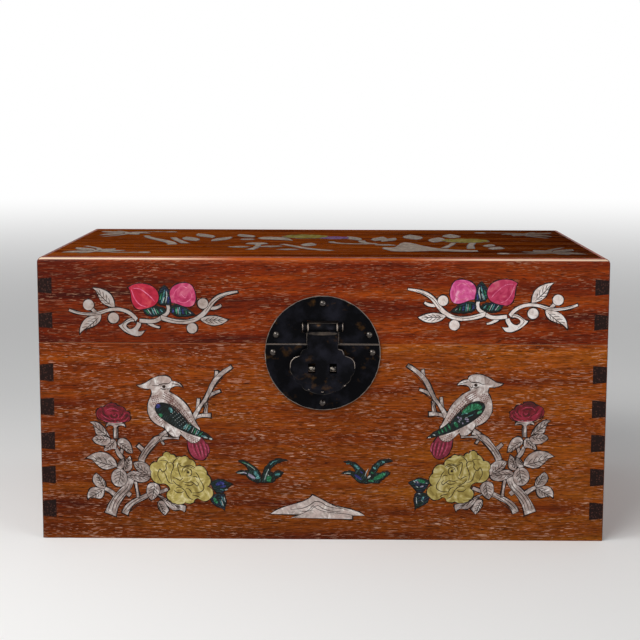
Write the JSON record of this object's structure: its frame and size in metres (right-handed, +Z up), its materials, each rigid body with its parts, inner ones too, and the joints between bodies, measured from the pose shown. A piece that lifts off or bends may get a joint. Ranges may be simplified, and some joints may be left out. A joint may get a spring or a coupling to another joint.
{
  "type": "lidded games chest",
  "caption": "Dovetailed wooden games chest with shell inlay, a hinged lid, a round lock plate with a swinging hasp, and a lift-out tray.",
  "frame": {"origin": "on the floor under the middle of the chest", "axes": "+X to the right seen from the front, -Y towards the front with the lock, +Z up"},
  "size_m": [0.3, 0.2047, 0.1517],
  "materials": {
    "case_wood": "satin varnished red-brown hardwood",
    "lid_wood": "satin varnished red-brown hardwood, slightly darker",
    "tray_wood": "thin varnish on hardwood",
    "white_shell": "polished mother-of-pearl, engraved",
    "abalone": "polished dark abalone with green and blue bands",
    "crimson_shell": "polished shell dyed crimson, engraved",
    "pink_shell": "polished shell dyed rose",
    "yellow_shell": "polished shell dyed yellow, engraved",
    "purple_shell": "polished shell dyed pale purple",
    "dark_brass": "brass sheet with a dark brown-black patina, bright at the edges",
    "nail_brass": "dark patinated brass, worn bright on the domes"
  },
  "bodies": {
    "case": {"case_front": "case_wood", "case_back": "case_wood", "case_left_side": "case_wood", "case_right_side": "case_wood", "case_bottom": "case_wood", "tray_rails": "tray_wood", "lock_plate_lower": "dark_brass", "lock_staples": "dark_brass", "lock_nails_lower": "nail_brass", "hinge_left_case_leaf": "dark_brass", "hinge_right_case_leaf": "dark_brass", "hinge_left_pin": "nail_brass", "hinge_right_pin": "nail_brass", "hinge_nails_case": "nail_brass", "inlay_wings": "abalone", "inlay_birds": "white_shell", "inlay_tails": "crimson_shell", "inlay_peonies": "yellow_shell", "inlay_branches": "white_shell", "inlay_red_flowers": "crimson_shell", "inlay_dark_leaves": "abalone", "inlay_leaves": "white_shell", "inlay_swallows": "abalone", "inlay_mountain": "white_shell"},
    "lid": {"lid_front": "lid_wood", "lid_back": "lid_wood", "lid_left_side": "lid_wood", "lid_right_side": "lid_wood", "lid_top": "lid_wood", "lock_plate_upper": "dark_brass", "hasp_pin": "nail_brass", "lock_nails_upper": "nail_brass", "hinge_left_lid_leaf": "dark_brass", "hinge_right_lid_leaf": "dark_brass", "hinge_nails_lid": "nail_brass", "lid_inlay_peaches": "pink_shell", "lid_inlay_peach_leaves": "abalone", "lid_inlay_sprigs": "white_shell", "inlay_top_sprigs": "white_shell", "inlay_top_peonies": "yellow_shell", "inlay_top_flower": "purple_shell", "inlay_top_birds": "white_shell", "inlay_top_leaves": "white_shell", "inlay_top_branches": "white_shell"},
    "hasp": {"hasp": "dark_brass"},
    "tray": {"tray_front": "tray_wood", "tray_back": "tray_wood", "tray_left": "tray_wood", "tray_right": "tray_wood", "tray_bottom": "tray_wood", "tray_dividers": "tray_wood"}
  },
  "joints": [
    {"name": "lid_hinge", "type": "hinge", "parent": "case", "child": "lid", "pos_m": [0, 0.0966, 0.106], "axis": [-1, 0, 0], "range_deg": [0, 104]},
    {"name": "hasp_swing", "type": "hinge", "parent": "lid", "child": "hasp", "pos_m": [0, -0.0966, 0.1153], "axis": [-1, 0, 0], "range_deg": [-12.4, 147]},
    {"name": "tray_lift", "type": "slide", "parent": "case", "child": "tray", "axis": [0, 0, 1], "range_m": [0, 0.04]}
  ]
}
